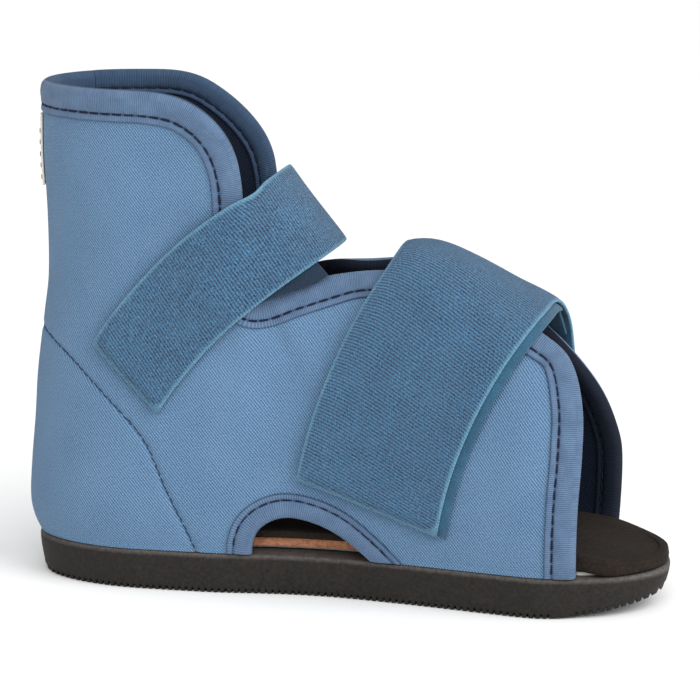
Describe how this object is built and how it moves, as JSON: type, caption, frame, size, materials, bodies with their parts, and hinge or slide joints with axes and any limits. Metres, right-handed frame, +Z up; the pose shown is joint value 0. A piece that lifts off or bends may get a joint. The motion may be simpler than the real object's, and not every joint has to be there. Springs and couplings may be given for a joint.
{
  "type": "medical walking boot",
  "caption": "Open-toed post-operative walking boot for the left foot: padded cloth upper with bound edges, hook-and-loop straps, cushioned footbed and ribbed flat sole.",
  "frame": {"origin": "middle of the underside of the boot's bounding box, on the floor", "axes": "+X from heel to toe, +Y from the inner side of the foot to the outer side, +Z up"},
  "size_m": [0.2834, 0.097, 0.2174],
  "materials": {
    "outsole_rubber": "matt blown rubber, ribbed underneath",
    "board": "matt white fibre board",
    "cork": "matt compressed cork and foam",
    "suede_cover": "napped dark brown suede-like microfibre",
    "panel_cloth": "knit-faced foam laminate, matt",
    "binding_cloth": "finely ribbed woven edge tape",
    "strap_webbing": "brushed loop webbing with woven edges",
    "strap_backing": "brushed loop cloth, matt",
    "label_cloth": "bare woven tape"
  },
  "bodies": {
    "root": {"outsole": "outsole_rubber", "insole_board": "board", "footbed_core": "cork", "footbed_cover": "suede_cover", "quarter_medial": "panel_cloth", "quarter_lateral": "panel_cloth", "heel_counter": "panel_cloth", "binding_medial": "binding_cloth", "binding_lateral": "binding_cloth", "window_binding": "binding_cloth", "ankle_strap": "strap_webbing", "ankle_strap_tab": "strap_backing", "forefoot_strap": "strap_webbing", "forefoot_strap_backing": "strap_backing", "back_label": "label_cloth"}
  },
  "joints": []
}
